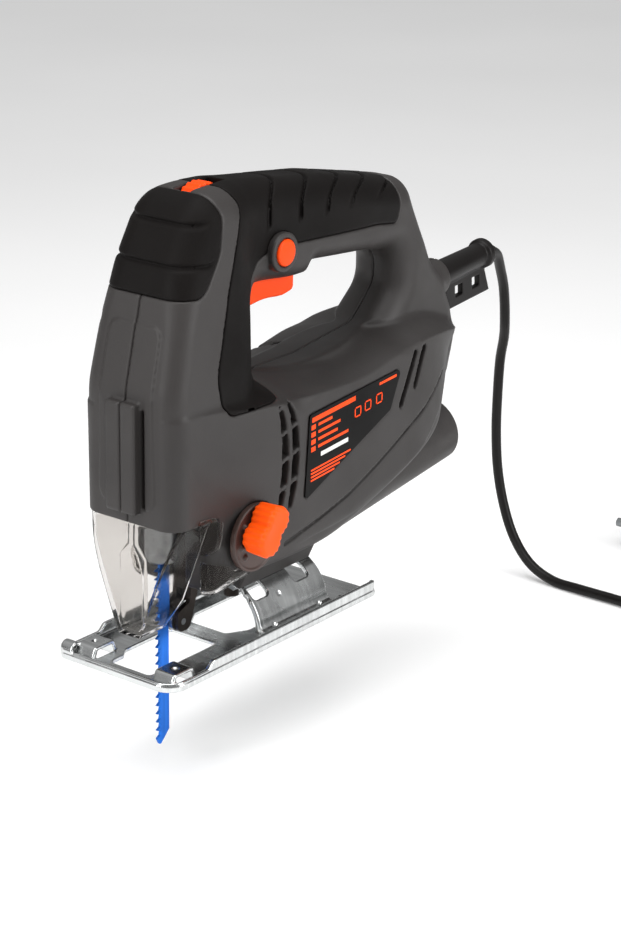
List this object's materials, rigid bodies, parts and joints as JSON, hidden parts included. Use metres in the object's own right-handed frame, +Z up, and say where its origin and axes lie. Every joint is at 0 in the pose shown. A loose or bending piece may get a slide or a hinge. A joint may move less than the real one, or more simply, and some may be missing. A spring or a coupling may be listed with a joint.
{
  "type": "jigsaw",
  "caption": "Hand-held electric jigsaw with closed handle, pendulum knob, clear blade guard, tilting pressed steel shoe, toothed blade, dust tube and coiled mains lead",
  "frame": {"origin": "Where the middle line of the saw blade crosses the underside of the shoe, inside the shoe's front window", "axes": "+X points to the rear of the tool, away from the cutting edge; +Y to the tool's right; +Z up, out of the work"},
  "size_m": [0.4225, 0.1749, 0.2628],
  "materials": {
    "housing": "fine moulded texture",
    "soft_rubber": "soft matt",
    "orange": "smooth",
    "knob_orange": "smooth",
    "black_plastic": "satin",
    "label": "printed foil",
    "zinc_steel": "zinc plated sheet",
    "steel": "ground",
    "dark_steel": "black oxide",
    "alloy": "die cast",
    "bronze": "sintered",
    "copper": "enamelled wire",
    "blade_blue": "semi-gloss paint",
    "clear": "clear moulding",
    "felt": "felt",
    "carbon": "pressed carbon"
  },
  "bodies": {
    "frame_body": {"housing_left": "housing", "housing_right": "housing", "grip_left": "soft_rubber", "grip_right": "soft_rubber", "nose_pad_left": "soft_rubber", "nose_pad_right": "soft_rubber", "rating_label": "label", "housing_screws": "zinc_steel", "gearcase": "alloy", "upper_bush": "bronze", "lower_bush": "bronze", "felt_wiper": "felt", "gear_axle": "steel", "front_bearing": "steel", "rear_bearing": "steel", "stator_core": "steel", "field_coils": "copper", "brush_holders": "copper", "carbon_brushes": "carbon", "switch_body": "black_plastic", "speed_control": "black_plastic", "cord_clamp": "black_plastic", "trigger_pin": "steel", "cord_boot": "black_plastic", "cord": "black_plastic", "cord_coil": "black_plastic", "cord_tail": "black_plastic", "coil_tie": "black_plastic", "plug_body": "black_plastic", "plug_pins": "steel", "blade_guard": "clear", "dust_tube": "housing", "pendulum_scale": "carbon", "bracket_seat": "black_plastic", "clamp_plate": "steel", "bracket_screws": "dark_steel", "fork_pin": "steel"},
    "blade_body": {"plunger": "steel", "yoke": "steel", "blade_clamp": "steel", "clamp_screws": "dark_steel", "saw_blade": "blade_blue"},
    "gear_body": {"drive_gear": "steel", "crank_pin": "steel"},
    "armature_body": {"motor_shaft": "steel", "armature_core": "steel", "armature_winding": "copper", "commutator": "copper", "fan": "black_plastic"},
    "shoe_body": {"base_plate": "zinc_steel", "bevel_bracket": "zinc_steel"},
    "trigger_body": {"trigger": "orange"},
    "lock_body": {"lock_button": "orange"},
    "dial_body": {"speed_dial": "orange"},
    "knob_body": {"pendulum_knob": "knob_orange", "knob_shaft": "steel"},
    "fork_body": {"pendulum_fork": "dark_steel", "roller_pin": "steel"},
    "roller_body": {"guide_roller": "steel"}
  },
  "joints": [
    {"name": "shoe_tilt", "type": "hinge", "parent": "frame_body", "child": "shoe_body", "pos_m": [0.065, 0, 0.0015], "axis": [1, 0, 0], "range_deg": [-45, 45]},
    {"name": "blade_stroke", "type": "slide", "parent": "frame_body", "child": "blade_body", "axis": [0, 0, 1], "range_m": [-0.009, 0.009]},
    {"name": "gear_spin", "type": "hinge", "parent": "frame_body", "child": "gear_body", "pos_m": [0.017, 0, 0.1043], "axis": [1, 0, 0], "continuous": true},
    {"name": "armature_spin", "type": "hinge", "parent": "frame_body", "child": "armature_body", "pos_m": [0.09, 0, 0.0805], "axis": [1, 0, 0], "continuous": true},
    {"name": "trigger_press", "type": "hinge", "parent": "frame_body", "child": "trigger_body", "pos_m": [0.08, 0, 0.16], "axis": [0, 1, 0], "range_deg": [0, 7], "stiffness_Nm_per_rad": 0.5, "springref_deg": -5.73},
    {"name": "lock_press", "type": "slide", "parent": "frame_body", "child": "lock_body", "axis": [0, 1, 0], "range_m": [0, 0.003], "stiffness_N_per_m": 300, "springref_m": -0.002},
    {"name": "speed_set", "type": "hinge", "parent": "frame_body", "child": "dial_body", "pos_m": [0.026, 0, 0.1945], "axis": [0, 1, 0], "range_deg": [0, 270]},
    {"name": "pendulum_set", "type": "hinge", "parent": "frame_body", "child": "knob_body", "pos_m": [0.026, -0.036, 0.055], "axis": [0, 1, 0], "range_deg": [0, 90]},
    {"name": "fork_swing", "type": "hinge", "parent": "frame_body", "child": "fork_body", "pos_m": [0.02, 0, 0.05], "axis": [0, -1, 0], "range_deg": [0, 4.5]},
    {"name": "roller_spin", "type": "hinge", "parent": "fork_body", "child": "roller_body", "pos_m": [0.00835, 0, 0.014], "axis": [0, 1, 0], "continuous": true}
  ],
  "couplings": [
    {"joint": "armature_spin", "follows": "gear_spin", "ratio": -6},
    {"joint": "fork_swing", "follows": "pendulum_set", "ratio": 0.05}
  ]
}
